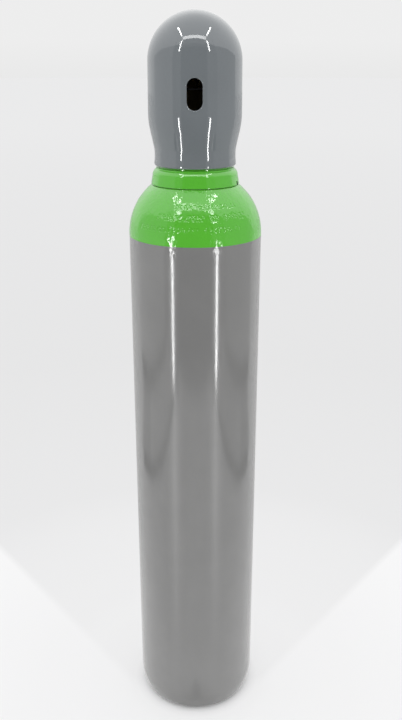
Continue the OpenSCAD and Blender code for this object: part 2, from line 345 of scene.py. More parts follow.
body_paint = paint("body_paint", GREY, 0.13, 0.010, 3.0)
shoulder_paint = paint("shoulder_paint", GREEN, 0.09, 0.022, 2.2)
cap_paint = paint("cap_paint", CAP_GREY, 0.045, 0.002, 5.0)
# a dark primer for the inside of the cap, which also serves as painted shade under the neck ring and in
# its notch
primer_and_shade = paint("primer_and_shade", srgb(70, 71, 72), 0.5, 0.02, 1.2)
bare_steel = metal("bare_steel", (0.42, 0.41, 0.40, 1), 0.36, 0.8)
plated_steel = metal("plated_steel", (0.62, 0.62, 0.61, 1), 0.28, 0.6)
brass = metal("brass", (0.66, 0.48, 0.22, 1), 0.30, 0.5)
forged_brass = metal("forged_brass", (0.60, 0.45, 0.23, 1), 0.42, 1.0, depth=0.05)
white_ptfe = plastic("white_ptfe", (0.80, 0.80, 0.78, 1), 0.42, 0.8, 0.02, ior=1.36, subsurface=0.1)
filled_ptfe = plastic("filled_ptfe", (0.045, 0.045, 0.048, 1), 0.50, 0.8, 0.02, ior=1.36)
seal_rubber = plastic("seal_rubber", (0.018, 0.018, 0.018, 1), 0.45, 0.5, 0.01)
seat_plastic = plastic("seat_plastic", (0.68, 0.60, 0.44, 1), 0.38, 0.8, 0.01, subsurface=0.1)
wheel_plastic = plastic("wheel_plastic", (0.020, 0.020, 0.021, 1), 0.42, 0.7, 0.02)
disc_plastic = plastic("disc_plastic", (0.030, 0.030, 0.032, 1), 0.30, 0.8, 0.005)
disc_ink = plastic("disc_ink", (0.62, 0.62, 0.61, 1), 0.35, 0.8, 0.005)


def set_materials(obj, *materials):
    obj.data.materials.clear()
    for material in materials:
        obj.data.materials.append(material)


def dress(obj, body, slot, material, *nodes):
    """Gives a piece its material, body and the CAD nodes it stands for. Its slot is not used."""
    if not any(obj.data.materials):
        set_materials(obj, material)
    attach(obj, body)
    if nodes:
        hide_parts(*nodes)


# -------- cylinder shell

BODY_R = 70.5
WALL = 4
PAINT_Z = 589.2
WALL_TOP = 590.6
SHOULDER_R = 65.3
SHOULDER_X = BODY_R - SHOULDER_R
FOOT_R = 65.2
FOOT_ANGLE = 18.5
TOE_R = 10
TOE_X = BODY_R - FOOT_R + (FOOT_R - TOE_R) * math.cos(math.radians(FOOT_ANGLE))
FOOT_Z = TOE_R + (FOOT_R - TOE_R) * math.sin(math.radians(FOOT_ANGLE))
DISH_X = TOE_X - 2
DISH_H = 18
DISH_R = (DISH_X**2 + (TOE_R - DISH_H) ** 2 - TOE_R**2) / (2 * DISH_H)
DISH_Z = DISH_H - DISH_R
DISH_ANGLE = math.degrees(math.atan2(TOE_R - DISH_Z, DISH_X))
BASE_T = 9
NECK_R = 30
NECK_TOP = 681.2
FILLET_R = 6
FILLET_X = NECK_R + FILLET_R
FILLET_Z = WALL_TOP + math.sqrt((SHOULDER_R + FILLET_R) ** 2 - (FILLET_X - SHOULDER_X) ** 2)
FILLET_ANGLE = math.degrees(math.atan2(FILLET_Z - WALL_TOP, FILLET_X - SHOULDER_X))
BORE_TOP_R = 14.31
BORE_LOW_R = 12.75
TAPER = 26
GAS_R = 58
GAS_X = BODY_R - WALL - GAS_R
GAS_Z = WALL_TOP + 1.2
WALL_SEGMENTS = 600
SHOULDER_SEGMENTS = 900
PEEL_LOW, PEEL_HIGH = -14, 62  # the rough zone, along the outline from the paint line
PEEL_FADE_LOW, PEEL_FADE_HIGH = 11, 3
COARSE_PEEL, FINE_PEEL = 0.042, 0.030
# each row: length from the paint line, first and last angle in degrees, height of a mark
MARK_ROWS = ((40.0, -22, 48, 5.0), (28.5, -34, 48, 6.4), (16.5, -52, 44, 5.4))
MARK_SPACING = 4.6
MARK_GAPS = 0.08  # the share of the marks left out
DOT_PITCH = 1.25
DOT_R = 0.60
DOT_SINK = 0.46

coarse_peel = Grain(110, 4.0)
fine_peel = Grain(320, 1.35)


def peel(angles, lengths):
    """Depth in millimetres of the pebbled paint at each angle and length from the paint line."""
    fade = smooth_step((lengths - PEEL_LOW) / PEEL_FADE_LOW)
    fade = fade * smooth_step((PEEL_HIGH - lengths) / PEEL_FADE_HIGH)
    coarse = COARSE_PEEL * coarse_peel.at(angles, lengths)
    fine = FINE_PEEL * fine_peel.at(angles, lengths)
    return (coarse + fine) * fade[:, None]


def relief_warp(outline, segments, origin, marks=()):
    """A warp that pushes the rough zone of an outline in and out along its normal."""
    lengths = lengths_along(outline) - origin
    rows = np.flatnonzero((lengths > PEEL_LOW) & (lengths < PEEL_HIGH))
    tangents = np.gradient(np.array(outline), axis=0)
    tangents /= np.linalg.norm(tangents, axis=1)[:, None]
    angles = np.arange(segments) * TAU / segments

    def warp(r, angle, z):
        depth = peel(angles, lengths[rows])
        for mark_angle, mark_length in marks:
            near = np.flatnonzero(abs(lengths[rows] - mark_length) < 3 * DOT_R)
            for i in near:
                ring_r = r[rows[i], 0]
                span = (angles - mark_angle + math.pi) % TAU - math.pi
                close = np.flatnonzero(abs(span) * ring_r < 3 * DOT_R)
                away = (span[close] * ring_r) ** 2 + (lengths[rows[i]] - mark_length) ** 2
                depth[i, close] -= DOT_SINK * np.exp(-away / DOT_R**2)
        r, z = r.copy(), z.copy()
        r[rows] += depth * tangents[rows, 1][:, None]
        z[rows] -= depth * tangents[rows, 0][:, None]
        return r, z

    return warp


def punch_marks():
    """Generic punch marks round the front of the shoulder: dots at random, with no meaning."""
    marks = []
    for length, first, last, rise in MARK_ROWS:
        ring_r = SHOULDER_X + SHOULDER_R * math.cos(length / SHOULDER_R)
        for centre in np.arange(first, last, math.degrees(MARK_SPACING / ring_r)):
            if rng.random() < MARK_GAPS:
                continue
            cells = rng.permutation(12)[: rng.integers(5, 9)]
            for cell in cells:
                across, up = (cell % 3 - 1) * DOT_PITCH, (cell // 3 - 1.5) * rise / 4
                marks.append((math.radians(centre - 90) + across / ring_r, length + up))
    return marks


def build_wall():
    knuckle_r = 14
    knuckle_x = BODY_R - WALL - knuckle_r
    knuckle_z = DISH_Z + math.sqrt((DISH_R + BASE_T + knuckle_r) ** 2 - knuckle_x**2)
    knuckle_angle = math.degrees(math.atan2(knuckle_z - DISH_Z, knuckle_x))
    outer = joined(
        arc(0, DISH_Z, DISH_R, 90, DISH_ANGLE, 30),
        arc(DISH_X, TOE_R, TOE_R, DISH_ANGLE + 180, 270, 8),
        arc(TOE_X, TOE_R, TOE_R, 270, 360 - FOOT_ANGLE, 16),
        arc(BODY_R - FOOT_R, FOOT_Z, FOOT_R, -FOOT_ANGLE, 0, 12),
        line((BODY_R, FOOT_Z), (BODY_R, PAINT_Z - 15), 24),
        line((BODY_R, PAINT_Z - 15), (BODY_R, PAINT_Z), 20),
    )
    inner = joined(
        line((BODY_R - WALL, PAINT_Z), (BODY_R - WALL, knuckle_z), 12),
        arc(knuckle_x, knuckle_z, knuckle_r, 0, knuckle_angle - 180, 8),
        arc(0, DISH_Z, DISH_R + BASE_T, knuckle_angle, 90, 12),
    )
    outline = outer + inner
    outline[0] = (0, outline[0][1])
    outline[-1] = (0, outline[-1][1])
    warp = relief_warp(outline, WALL_SEGMENTS, lengths_along(outer)[-1])
    obj = lathe("cylinder_wall", outline, WALL_SEGMENTS, warp)
    dress(obj, "cylinder", "body_paint", body_paint, "cylinder_shell")


def build_shoulder():
    covered = math.degrees(math.acos((RING_R - 2 - SHOULDER_X) / SHOULDER_R))
    outer = joined(
        line((BODY_R, PAINT_Z), (BODY_R, WALL_TOP), 3),
        arc(SHOULDER_X, WALL_TOP, SHOULDER_R, 0, covered, 124),
        arc(SHOULDER_X, WALL_TOP, SHOULDER_R, covered, FILLET_ANGLE, 8),
        arc(FILLET_X, FILLET_Z, FILLET_R, FILLET_ANGLE + 180, 180, 6),
        [(NECK_R, NECK_TOP - 1), (NECK_R - 1, NECK_TOP)],
        line((NECK_R - 1, NECK_TOP), (BORE_TOP_R, NECK_TOP), 4),
    )
    gas_start = math.degrees(math.acos((BORE_LOW_R - GAS_X) / GAS_R))
    inner = joined(
        line((BORE_TOP_R, NECK_TOP), (BORE_LOW_R, NECK_TOP - TAPER), 6),
        arc(GAS_X, GAS_Z, GAS_R, gas_start, 0, 16),
        [(BODY_R - WALL, PAINT_Z)],
    )
    outline = joined(outer, inner)
    warp = relief_warp(outline, SHOULDER_SEGMENTS, 0, punch_marks())
    obj = lathe("cylinder_shoulder", outline, SHOULDER_SEGMENTS, warp)
    dress(obj, "cylinder", "shoulder_paint", shoulder_paint)


# -------- neck ring

RING_R = 46.1
RING_SIDE = 651.6
RING_TOP_R = 44.6
RING_ROUND = 8
RING_ROUND_ANGLE = 57
RING_FACE = 659.6
LAND_LOW = 661.7
LAND_TOP = 680.2
CAP_THREAD_PITCH = 2.309
CAP_THREAD_ROOT = 38.5
CAP_THREAD_DEPTH = 1.48
BARE_RING_R = 40.3  # the thread is bare steel within these radii
BARE_BORE_R = 40.4
RING_GAP = 0.5  # the gap between the ring and the shoulder, which shows as a dark line; painted shade on the ring's underside deepens it
RING_EDGE = 0.6
NOTCH_ANGLE = math.radians(-18)
NOTCH_SPAN = 0.0445  # half its width, as an angle from the axis
NOTCH_LOW = 640.5
NOTCH_TOP = 646.6


def cap_thread(angle, z):
    return CAP_THREAD_DEPTH * thread(angle, z, CAP_THREAD_PITCH, LAND_LOW - 0.6, LAND_TOP + 0.4, 1.2)


def combine(obj, operation, *others):
    """Joins other meshes to one (UNION) or cuts them out of it (DIFFERENCE), for good."""
    for other in others:
        modifier = obj.modifiers.new("combine", "BOOLEAN")
        modifier.operation = operation
        modifier.solver = "EXACT"
        modifier.object = other
        apply_modifiers(obj)
        bpy.data.objects.remove(other)


def apply_modifiers(obj):
    graph = bpy.context.evaluated_depsgraph_get()
    mesh = bpy.data.meshes.new_from_object(obj.evaluated_get(graph))
    obj.modifiers.clear()
    obj.data = mesh


def box_object(name, low, high):
    """A plain box between two corners, in millimetres, to cut or to join with."""
    corners = list(itertools.product(*zip(low, high)))
    faces = [(0, 1, 3, 2), (4, 6, 7, 5), (0, 4, 5, 1), (2, 3, 7, 6), (0, 2, 6, 4), (1, 5, 7, 3)]
    return make_object(name, corners, faces)


def build_ring():
    round_x = RING_TOP_R - RING_ROUND
    low_angle = math.degrees(math.acos((RING_R - RING_EDGE - SHOULDER_X) / (SHOULDER_R + RING_GAP)))
    face_r = round_x + RING_ROUND * math.cos(math.radians(RING_ROUND_ANGLE))
    under = arc(SHOULDER_X, WALL_TOP, SHOULDER_R + RING_GAP, FILLET_ANGLE, low_angle, 10)
    side_low = under[-1][1] + RING_EDGE
    outline = joined(
        [(NECK_R, FILLET_Z + 1)],
        under,
        arc(RING_R - RING_EDGE, side_low, RING_EDGE, -60, 0, 5),
        line((RING_R, side_low), (RING_TOP_R, RING_SIDE), 10),
        arc(round_x, RING_SIDE, RING_ROUND, 0, RING_ROUND_ANGLE, 20),
        [(face_r - 0.2, RING_FACE), (CAP_THREAD_ROOT + 0.3, RING_FACE)],
        [(CAP_THREAD_ROOT, RING_FACE + 0.3)],
        line((CAP_THREAD_ROOT, LAND_LOW - 0.6), (CAP_THREAD_ROOT, LAND_TOP - 0.6), 96),
        [(CAP_THREAD_ROOT - 0.8, LAND_TOP), (NECK_R, LAND_TOP)],
    )

    def warp(r, angle, z):
        on_thread = np.isclose(r, CAP_THREAD_ROOT) & (z > LAND_LOW - 0.7)
        return np.where(on_thread, r + cap_thread(angle, z), r), z

    obj = lathe("neck_ring_turned", outline, 360, warp)
    notch = box_object("notch", (RING_R - 3, -2, NOTCH_LOW), (RING_R + 5, 2, NOTCH_TOP))
    notch.data.transform(Matrix.Rotation(NOTCH_ANGLE, 4, "Z"))
    combine(obj, "DIFFERENCE", notch)
    shade(obj)
    set_materials(obj, shoulder_paint, bare_steel, primer_and_shade)
    for polygon in obj.data.polygons:
        away, angle, height = face_centre(polygon)
        beside_notch = abs(angle - NOTCH_ANGLE) < NOTCH_SPAN and away < RING_R - 0.05
        in_notch = beside_notch and NOTCH_LOW - 0.1 < height < NOTCH_TOP + 0.1
        if height > CAP_Z + 0.6 and away < BARE_RING_R:
            polygon.material_index = 1
        # painted shade: faces turned downwards, under the ring, and the faces in the notch take the dark
        # primer
        elif polygon.normal.z < -0.5 or in_notch:
            polygon.material_index = 2
    dress(obj, "cylinder", "shoulder_paint", shoulder_paint, "neck_ring")


# -------- protective cap

CAP_Z = 661.6
RIM_R = 42.45
RIM_ROUND = 1.6
RIM_H = 3.0
COLLAR_R = 42.0
COLLAR_LOW = 7.6
COLLAR_TOP = 12.8
FLARE = 12.2
FLARE_IN_R = 27
FLARE_OUT_R = 80
BULGE_R = 48.0
BULGE_Z = CAP_Z + 51.8
DOME_R = 47.6
DOME_Z = CAP_Z + 101.2
CAP_T = 3
CAP_SEGMENTS = 360
CAP_THREAD_GAP = 0.22
VENT_Z = CAP_Z + 71.6
VENT_R = 8
VENT_STRAIGHT = 14
LIP_OUT = 0.9
LIP_IN = 0.5
PATCH_COLUMNS = 16
PATCH_LOW = VENT_Z - 24
PATCH_ROWS = 48
PATCH_RINGS = 9
BORE_R = CAP_THREAD_ROOT + CAP_THREAD_GAP
BORE_TOP = CAP_Z + 21


def cap_outer_r(z):
    """Radius of the cap's outside between the flare and the dome."""
    low = BULGE_R - FLARE_OUT_R + np.sqrt(FLARE_OUT_R**2 - np.minimum(z - BULGE_Z, 0) ** 2)
    return np.where(z < BULGE_Z, low, BULGE_R + (DOME_R - BULGE_R) * (z - BULGE_Z) / (DOME_Z - BULGE_Z))


def stadium(shares):
    """Points and outward normals of the vent slot's outline, at shares of its length from the bottom."""
    fine = np.linspace(0, TAU, 1441)
    bottom = np.where(np.cos(fine) > 0, -VENT_STRAIGHT / 2, VENT_STRAIGHT / 2)
    u, v = VENT_R * np.sin(fine), bottom - VENT_R * np.cos(fine)
    lengths = np.concatenate([[0], np.cumsum(np.hypot(np.diff(u), np.diff(v)))])
    at = (shares % 1) * lengths[-1]
    u, v = np.interp(at, lengths, u), np.interp(at, lengths, v)
    core = np.clip(v, -VENT_STRAIGHT / 2, VENT_STRAIGHT / 2)
    normal = np.stack([u, v - core], 1)
    return np.stack([u, v], 1), normal / np.linalg.norm(normal, axis=1)[:, None]


def build_cap():
    collar_in = COLLAR_R + FLARE_IN_R
    flare_bottom = arc(collar_in, CAP_Z + COLLAR_TOP, FLARE_IN_R, 180, 180 - FLARE, 8)
    flare_arc = arc(BULGE_R - FLARE_OUT_R, BULGE_Z, FLARE_OUT_R, -FLARE, 0, 40)
    below = [p for p in flare_arc if p[1] < PATCH_LOW - 0.3]
    patch_z = PATCH_LOW + np.arange(PATCH_ROWS + 1)
    outer_low = joined(
        arc(RIM_R - RIM_ROUND, CAP_Z + RIM_ROUND, RIM_ROUND, -90, 0, 8),
        line((RIM_R, CAP_Z + RIM_ROUND), (RIM_R, CAP_Z + RIM_H), 2),
        line((RIM_R, CAP_Z + RIM_H), (COLLAR_R, CAP_Z + COLLAR_LOW), 5),
        line((COLLAR_R, CAP_Z + COLLAR_LOW), (COLLAR_R, CAP_Z + COLLAR_TOP), 4),
        flare_bottom,
        below,
    )
    patch_outer = [(float(cap_outer_r(z)), z) for z in patch_z]
    dome = joined(
        line((float(cap_outer_r(patch_z[-1] + 1)), patch_z[-1] + 1), (DOME_R, DOME_Z), 5),
        arc(0, DOME_Z, DOME_R, 0, 90, 56),
    )
    dome[-1] = (0, dome[-1][1])
    dome_in = arc(0, DOME_Z, DOME_R - CAP_T, 90, 0, 28)
    dome_in[0] = (0, dome_in[0][1])
    patch_inner = [(r - CAP_T, z) for r, z in patch_outer[::-1]]
    flare_in = arc(BULGE_R - FLARE_OUT_R, BULGE_Z, FLARE_OUT_R, 0, -FLARE, 16)
    flare_in = [(r - CAP_T, z) for r, z in flare_in if z < PATCH_LOW - 1 and r - CAP_T > BORE_R]
    bore = line((BORE_R, BORE_TOP), (BORE_R, CAP_Z + 1.4), 90) + [(BORE_R + 0.9, CAP_Z)]
    outline = joined(outer_low, patch_outer, dome) + joined(dome_in, patch_inner, flare_in, bore)
    first_out = outline.index(patch_outer[0])
    first_in = outline.index(patch_inner[0])
    centres = (CAP_SEGMENTS * 3 // 4, CAP_SEGMENTS // 4)

    def skip(row, column):
        in_rows = 0 <= row - first_out < PATCH_ROWS or 0 <= row - first_in < PATCH_ROWS
        return in_rows and any(-PATCH_COLUMNS <= column - c < PATCH_COLUMNS for c in centres)

    def warp(r, angle, z):
        on_bore = np.isclose(r, BORE_R) & (z > CAP_Z + 1)
        return np.where(on_bore, r + cap_thread(angle, z), r), z

    verts, faces, index = lathe_parts(outline, CAP_SEGMENTS, warp, skip)
    verts, used = list(verts), len(verts)
    columns, rows = range(-PATCH_COLUMNS, PATCH_COLUMNS), range(PATCH_ROWS)
    border = [(c, 0) for c in columns] + [(PATCH_COLUMNS, r) for r in rows]
    border += [(-c, PATCH_ROWS) for c in columns] + [(-PATCH_COLUMNS, PATCH_ROWS - r) for r in rows]
    border = np.array(border)
    column_w = TAU / CAP_SEGMENTS * BULGE_R
    patch = np.stack([border[:, 0] * column_w, border[:, 1] - PATCH_ROWS / 2], 1)
    steps = np.linalg.norm(np.roll(patch, -1, 0) - patch, axis=1)
    around = np.concatenate([[0], np.cumsum(steps)[:-1]])
    slot_points, normals = stadium((around - PATCH_COLUMNS * column_w) / steps.sum())

    def spread(t, lip):
        """Points between the patch's border (t = 0) and the edge of the slot's lip (t = 1)."""
        ease = t * (2 - t)
        return patch * (1 - ease) + (slot_points + normals * lip) * ease

    def rounding(a, lip):
        """Points and depth of the slot's rounded lip, from its edge (a = 0) to the slot's wall."""
        return slot_points + normals * lip * (1 - math.sin(a)), lip * (1 - math.cos(a))

    shares = np.linspace(0, 1, PATCH_RINGS + 1)
    loops = [(spread(t, LIP_OUT), 0.0) for t in shares[1:]]
    loops += [rounding(a, LIP_OUT) for a in np.radians(np.linspace(0, 90, 7))[1:]]
    for a in np.radians(np.linspace(90, 0, 5)):
        points, depth = rounding(a, LIP_IN)
        loops.append((points, CAP_T - depth))
    loops += [(spread(t, LIP_IN), CAP_T) for t in shares[-2:0:-1]]

    count = len(border)
    for centre in centres:
        out_loop = [index[first_out + r, (centre + c) % CAP_SEGMENTS] for c, r in border]
        in_loop = [index[first_in + PATCH_ROWS - r, (centre + c) % CAP_SEGMENTS] for c, r in border]
        rings = [out_loop]
        for points, depth in loops:
            z = points[:, 1] + VENT_Z
            r = cap_outer_r(z) - depth
            angle = centre * TAU / CAP_SEGMENTS + points[:, 0] / BULGE_R
            verts.extend(np.stack([r * np.cos(angle), r * np.sin(angle), z], 1))
            rings.append(list(range(used, used + count)))
            used += count
        rings.append(in_loop)
        for a, b in zip(rings, rings[1:]):
            for k in range(count):
                n = (k + 1) % count
                faces.append((a[k], a[n], b[n], b[k]))
    obj = make_object("protective_cap_shell", verts, faces, 40)
    set_materials(obj, cap_paint, primer_and_shade, bare_steel)
    for polygon in obj.data.polygons:
        away, _, z = face_centre(polygon)
        inward = polygon.normal.x * polygon.center.x + polygon.normal.y * polygon.center.y < 0
        outer_r = cap_outer_r(z) if z < DOME_Z else DOME_R
        inside = math.hypot(away, max(0, z - DOME_Z)) < outer_r - 0.8 * CAP_T
        in_bore = inward and z < BORE_TOP and away < BARE_BORE_R
        polygon.material_index = 2 if in_bore else int(inside and z > BORE_TOP - 1)
    dress(obj, "cap", "cap_paint", cap_paint, "protective_cap")


# -------- valve

# Heights are above the top of the neck. OUTLET_X, OUTLET_L and CONE_L run along the outlet.
STEM_R = 14.4
STEM_LOW = -22
STEM_SLOPE = 0.06
FINE_PITCH = 1.814  # 14 threads per inch, of the stem and the outlet
FINE_DEPTH = 1.1
FLANGE_R, FLANGE_LOW, FLANGE_TOP = 16, 4, 7
SQUARE_W, SQUARE_CORNER, SQUARE_LOW, SQUARE_TOP = 30, 18.9, 7, 17.5
BARREL_R, BARREL_TOP = 15.5, 55
CHAMBER_R, CHAMBER_LOW, CHAMBER_TOP = 9.4, 26, 51.5
GLAND_R = 11.5
INLET_R = 3.5
TUBE_R = 4
TUBE_TOP = -12
OUTLET_Z = 31
OUTLET_R = 13.22
OUTLET_ROOT = 12
OUTLET_X = 34.5
OUTLET_L = 15
PORT_R = 4.5
CONE_R, CONE_L = 8.5, 6
HEX_W, HEX_LOW, HEX_TOP = 27, 56.5, 66.5
SPINDLE_R = 6
STOP_R, STOP_LOW, STOP_TOP = 8.5, 47.5, 50.45  # the spindle's collar
GROOVE_R, GROOVE_LOW, GROOVE_TOP = 4.6, 57, 60
SHAFT_TOP = 68
DRIVE_W, DRIVE_TOP = 8, 84  # the spindle's square, for the handwheel
BOLT_R, BOLT_PITCH, BOLT_TOP = 4, 1.25, 95
TONGUE_W, TONGUE_T, TONGUE_LOW = 14, 3, 39.2
BOLT_THREAD = 0.7
WHEEL_VOXEL = 0.45
DISC_LOW, DISC_IN, DISC_OUT, DISC_T = 86, 8.1, 12.7, 0.8
ARROW_START, ARROW_NECK, ARROW_TIP = 30, 128, 146  # degrees
ARROW_SHAFT, ARROW_HEAD = 0.42, 1.5  # half widths
SPRING_R, WIRE_R, SPRING_TURNS, SPRING_LOW, SPRING_TOP = 6.6, 0.6, 4, 77, 85
WASHER_R, WASHER_LOW, WASHER_TOP = 7.5, 85, 86.2
NUT_W, NUT_LOW, NUT_TOP = 13, 86.2, 92.7


def at_neck(*runs):
    """One outline from runs of points whose heights are above the top of the neck."""
    return [(r, z + NECK_TOP) for r, z in joined(*runs)]


def flats(count, across, low=-1e9, high=1e9, turn=0.0):
    """A warp that cuts a turned piece to flats between two heights."""
    width = TAU / count

    def warp(r, angle, z):
        off = (angle - turn + width / 2) % width - width / 2
        limit = across / 2 / np.cos(off)
        between = (z > low + NECK_TOP - 1e-6) & (z < high + NECK_TOP + 1e-6)
        return np.where(between, np.minimum(r, limit), r), z

    return warp


def raised(obj, z):
    obj.data.transform(Matrix.Translation((0, 0, (z + NECK_TOP) * MM)))
    return obj


def rounded_rim(r, low, high, edge):
    """A disc's rim in outline, with both its edges rounded."""
    return joined(arc(r - edge, low + edge, edge, -90, 0, 4), arc(r - edge, high - edge, edge, 0, 90, 4))


def hexagon(across, edge):
    """A hexagon's corner radius, and the height of its chamfer from a circle edge inside its flats."""
    corner = across / 2 / math.cos(math.radians(30))
    return corner, (corner - across / 2 + edge) * math.tan(math.radians(30))


def valve_forging():
    """The valve body's turned part, with its taper thread and its inside above the inlet."""
    rows = np.arange(STEM_LOW + 0.8, FLANGE_LOW - 0.2, 0.2)
    stem = [(STEM_R - STEM_SLOPE * (FLANGE_LOW - z), z) for z in rows]
    outline = joined(
        [(TUBE_R, STEM_LOW), (stem[0][0] - 1.2, STEM_LOW)],
        stem,
        [(STEM_R, FLANGE_LOW)],
        rounded_rim(FLANGE_R, FLANGE_LOW, FLANGE_TOP, 0.7),
        [(BARREL_R, FLANGE_TOP), (BARREL_R, BARREL_TOP - 0.8), (BARREL_R - 0.8, BARREL_TOP)],
        [(GLAND_R + 0.6, BARREL_TOP), (GLAND_R, BARREL_TOP - 0.6), (GLAND_R, CHAMBER_TOP)],
        [(CHAMBER_R, CHAMBER_TOP), (CHAMBER_R, CHAMBER_LOW), (5.5, CHAMBER_LOW)],
        [(5.2, CHAMBER_LOW + 1), (INLET_R, CHAMBER_LOW + 1), (INLET_R, TUBE_TOP), (TUBE_R, TUBE_TOP)],
    )
    low, high = STEM_LOW + NECK_TOP, FLANGE_LOW + NECK_TOP

    def warp(r, angle, z):
        on_stem = (r > STEM_R - 2) & (r < STEM_R - 0.01) & (z > low + 0.5) & (z < high - 0.1)
        root = FINE_DEPTH * (1 - thread(angle, z, FINE_PITCH, low, high - 2.5))
        return np.where(on_stem, r - root * np.clip((high - 1 - z) / 1.5, 0, 1), r), z

    return lathe("valve_body_forged", at_neck(outline), 144, warp)


def wrench_square():
    rim = rounded_rim(SQUARE_CORNER, SQUARE_LOW, SQUARE_TOP, 0.8)
    outline = at_neck([(0, SQUARE_LOW)] + rim + [(0, SQUARE_TOP)])
    return lathe("wrench_square", outline, 144, flats(4, SQUARE_W))


def outlet_spout():
    root = OUTLET_X - OUTLET_L
    rows = np.arange(root + 0.6, OUTLET_X - 0.6, 0.2)
    outline = joined(
        [(0, 6), (OUTLET_ROOT, 6), (OUTLET_ROOT, root), (OUTLET_R - 1, root)],
        [(OUTLET_R, z) for z in rows],
        [(OUTLET_R - 1.2, OUTLET_X), (0, OUTLET_X)],
    )

    def warp(r, angle, z):
        crest = thread(angle, z, FINE_PITCH, root, OUTLET_X)
        return np.where(r > OUTLET_R - 0.01, r - FINE_DEPTH * (1 - crest), r), z

    return raised(turned_about_x(lathe("outlet", outline, 144, warp)), OUTLET_Z)


def outlet_bore():
    port = [(0, 7), (PORT_R, 7), (PORT_R, OUTLET_X - CONE_L)]
    cone = [(CONE_R, OUTLET_X), (CONE_R + 0.2, OUTLET_X + 1), (0, OUTLET_X + 1)]
    return raised(turned_about_x(lathe("outlet_bore", port + cone, 96)), OUTLET_Z)


def build_valve_body():
    low, high = CHAMBER_LOW + 1.5, CHAMBER_TOP - 1.5
    chamber = at_neck([(0, low), (CHAMBER_R, low), (CHAMBER_R, high), (0, high)])
    body = valve_forging()
    combine(body, "UNION", wrench_square(), outlet_spout())
    combine(body, "DIFFERENCE", outlet_bore(), lathe("chamber", chamber, 144))
    shade(body, 35)
    dress(body, "cylinder", "valve_brass", forged_brass, "valve_body")


def build_gland_nut():
    corner, drop = hexagon(HEX_W, 0.3)
    low = CHAMBER_TOP + 0.1
    outline = at_neck(
        [(SPINDLE_R + 0.05, low), (GLAND_R - 0.8, low), (GLAND_R - 0.05, low + 0.8)],
        [(GLAND_R - 0.05, HEX_LOW), (corner - 0.5, HEX_LOW), (corner, HEX_LOW + 0.3)],
        [(corner, HEX_TOP - drop), (HEX_W / 2 - 0.3, HEX_TOP)],
        [(SPINDLE_R + 1, HEX_TOP), (SPINDLE_R + 0.05, HEX_TOP - 1)],
    )
    nut = lathe("gland_nut_hex", outline, 192, flats(6, HEX_W, HEX_LOW, HEX_TOP, math.radians(30)))
    dress(nut, "cylinder", "valve_brass", brass, "gland_nut")


def build_spindle():
    rows = np.arange(DRIVE_TOP + 0.4, BOLT_TOP - 0.6, 0.16)
    drive_r = DRIVE_W * 0.68  # past the corners of the square, which the warp cuts
    outline = at_neck(
        [(0, STOP_LOW), (STOP_R - 0.3, STOP_LOW), (STOP_R, STOP_LOW + 0.3)],
        [(STOP_R, STOP_TOP - 0.3), (STOP_R - 0.3, STOP_TOP), (SPINDLE_R, STOP_TOP)],
        [(SPINDLE_R, GROOVE_LOW), (GROOVE_R, GROOVE_LOW)],
        [(GROOVE_R, GROOVE_TOP), (SPINDLE_R, GROOVE_TOP)],
        [(SPINDLE_R, SHAFT_TOP - 0.4), (SPINDLE_R - 0.4, SHAFT_TOP)],
        [(drive_r, SHAFT_TOP + 0.01), (drive_r, DRIVE_TOP), (BOLT_R - 0.6, DRIVE_TOP)],
        [(BOLT_R, z) for z in rows],
        [(BOLT_R - 0.8, BOLT_TOP), (0, BOLT_TOP)],
    )
    square = flats(4, DRIVE_W, SHAFT_TOP + 0.005, DRIVE_TOP)
    low, high = DRIVE_TOP + NECK_TOP, BOLT_TOP + NECK_TOP

    def warp(r, angle, z):
        r, z = square(r, angle, z)
        on_bolt = (z > low + 0.3) & (r > BOLT_R - 0.01)
        root = BOLT_THREAD * (1 - thread(angle, z, BOLT_PITCH, low, high))
        return np.where(on_bolt, r - root, r), z

    spindle = lathe("spindle_turned", outline, 96, warp)
    low_corner = (-TONGUE_W / 2, -TONGUE_T / 2, TONGUE_LOW + NECK_TOP)
    high_corner = (TONGUE_W / 2, TONGUE_T / 2, STOP_LOW + 1 + NECK_TOP)
    combine(spindle, "UNION", box_object("tongue", low_corner, high_corner))
    shade(spindle)
    dress(spindle, "handwheel", "plain_steel", plated_steel, "spindle")


def build_handwheel():
    """The moulded handwheel: the CAD solid with its edges melted a little, as a moulding's are."""
    wheel = placed("handwheel_moulded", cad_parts["handwheel"].data.copy())
    wheel.data.materials.clear()
    remesh = wheel.modifiers.new("remesh", "REMESH")
    remesh.mode = "VOXEL"
    remesh.voxel_size = WHEEL_VOXEL * MM
    soften = wheel.modifiers.new("soften", "LAPLACIANSMOOTH")
    soften.iterations = 4
    soften.lambda_factor = 0.5
    apply_modifiers(wheel)
    shade(wheel, 60)
    dress(wheel, "handwheel", "wheel_plastic", wheel_plastic, "handwheel")


def build_disc():
    """The turning-direction disc: two curved arrows, one for each way."""
    top, edge = DISC_LOW + DISC_T, 0.25
    outline = at_neck(
        [(DISC_IN, DISC_LOW), (DISC_OUT, DISC_LOW)],
        arc(DISC_OUT - edge, top - edge, edge, 0, 90, 3),
        line((DISC_OUT - edge, top), (DISC_IN + edge, top), 16),
        arc(DISC_IN + edge, top - edge, edge, 90, 180, 3),
    )
    marked = lathe("direction_disc_marked", outline, 360)
    set_materials(marked, disc_plastic, disc_ink)
    for polygon in marked.data.polygons:
        away, angle, z = face_centre(polygon)
        off_middle = abs(away - (DISC_IN + DISC_OUT) / 2)
        turn = math.degrees(angle) % 180
        shaft = ARROW_START < turn < ARROW_NECK and off_middle < ARROW_SHAFT
        narrowing = (ARROW_TIP - turn) / (ARROW_TIP - ARROW_NECK)
        head = ARROW_NECK <= turn < ARROW_TIP and off_middle < ARROW_HEAD * narrowing
        on_top = z > NECK_TOP + top - 0.05
        polygon.material_index = int(on_top and (shaft or head))
    dress(marked, "handwheel", "disc_plastic", disc_plastic, "direction_disc")


